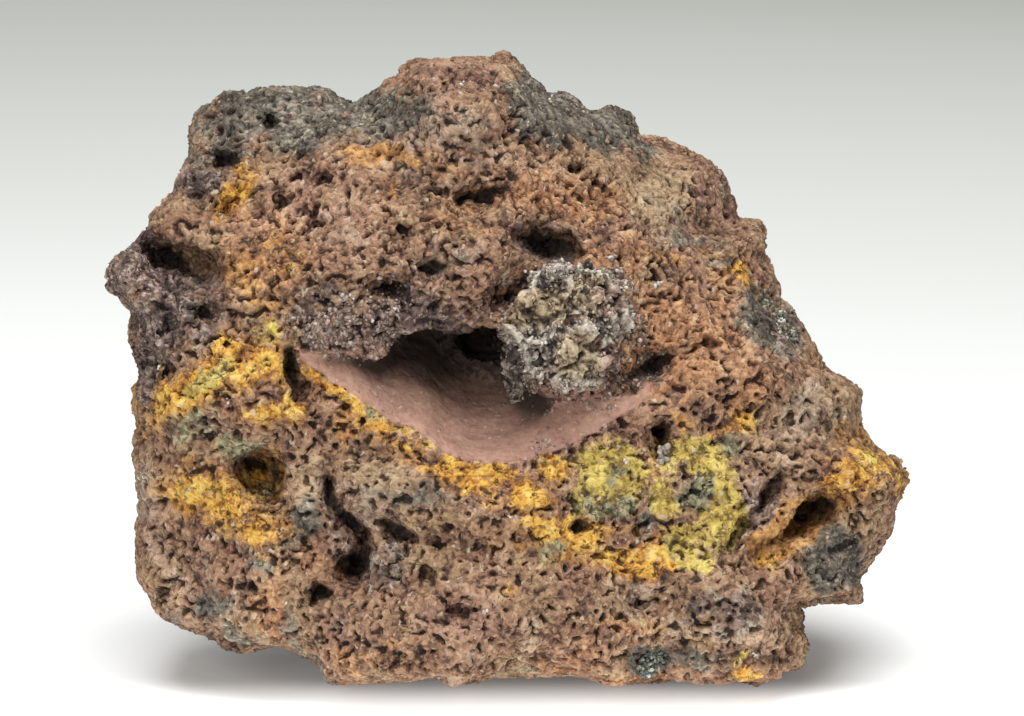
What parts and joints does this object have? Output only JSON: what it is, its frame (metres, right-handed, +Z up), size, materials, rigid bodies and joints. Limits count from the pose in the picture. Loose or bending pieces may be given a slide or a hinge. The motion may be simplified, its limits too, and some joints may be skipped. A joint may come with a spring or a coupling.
{
  "type": "gossan specimen",
  "caption": "Rough block of cellular iron-oxide gossan with a deep hollow, vugs and pits across its broad face and crusts of small crystals.",
  "frame": {"origin": "centre of the bounding box at the level of the cut feet that the rock rests on", "axes": "+Z up, +X along the rock's longest side, -Y towards the broad face with the main hollow, which leans back"},
  "size_m": [0.1, 0.062, 0.0756],
  "materials": {
    "iron_oxide": "matte",
    "pale_druse": "satin",
    "green_grey_crystals": "satin",
    "dark_crystals": "satin"
  },
  "bodies": {
    "root": {"gossan_rock": "iron_oxide", "druse_crust": "pale_druse", "flank_vug_crust": "green_grey_crystals", "oval_vug_crust": "dark_crystals"}
  },
  "joints": []
}
